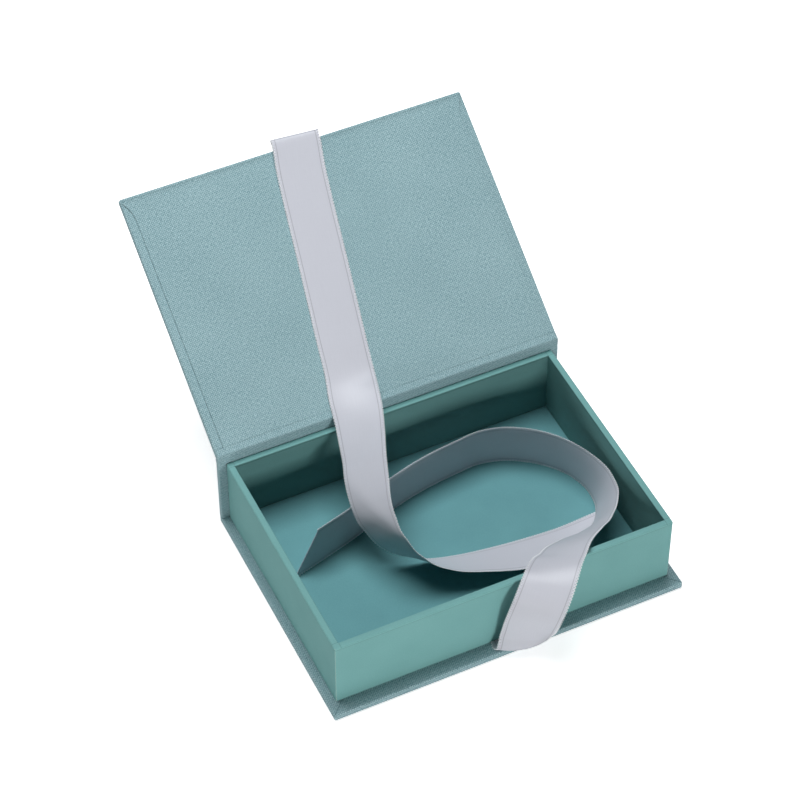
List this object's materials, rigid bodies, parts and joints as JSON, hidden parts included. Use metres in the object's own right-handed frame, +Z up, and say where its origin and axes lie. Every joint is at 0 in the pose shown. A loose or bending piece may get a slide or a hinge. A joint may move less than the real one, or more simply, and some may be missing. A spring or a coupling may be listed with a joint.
{
  "type": "hinged keepsake box",
  "caption": "Shallow paper-covered tray on a cloth-covered case with a spine and a hinged lid that ties shut with two loose satin ribbons.",
  "frame": {"origin": "centre of the case's underside, where the box rests on the table", "axes": "+Z up, +X along the hinge to the right seen from the front, -Y towards the front, where the tray opens, +Y towards the spine and the laid-back lid"},
  "size_m": [0.18, 0.2573, 0.1236],
  "materials": {
    "case_cloth": "woven bookcloth",
    "lining_cloth": "woven bookcloth",
    "tray_paper": "matte covering paper",
    "board": "uncoated greyboard",
    "tape": "gummed paper tape",
    "ribbon": "single-face satin"
  },
  "bodies": {
    "base": {"base_board": "board", "base_cloth": "case_cloth", "spine_board": "board", "spine_cloth": "case_cloth", "hinge_cloth_outer": "case_cloth", "hinge_cloth_inner": "case_cloth", "tray_floor_board": "board", "tray_front_board": "board", "tray_back_board": "board", "tray_left_board": "board", "tray_right_board": "board", "corner_tapes": "tape", "tray_wrap_paper": "tray_paper", "tray_wall_lining": "tray_paper", "tray_floor_lining": "tray_paper", "base_ribbon": "ribbon"},
    "lid": {"lid_board": "board", "lid_cloth": "case_cloth", "lid_lining_card": "board", "lid_lining_cloth": "lining_cloth", "lid_ribbon": "ribbon"}
  },
  "joints": [
    {"name": "lid_hinge", "type": "hinge", "parent": "base", "child": "lid", "pos_m": [0, 0.0652, 0.04535], "axis": [1, 0, 0], "range_deg": [-50, 146.9], "deforming": ["hinge_cloth_outer", "hinge_cloth_inner", "lid_ribbon", "base_ribbon"]}
  ]
}
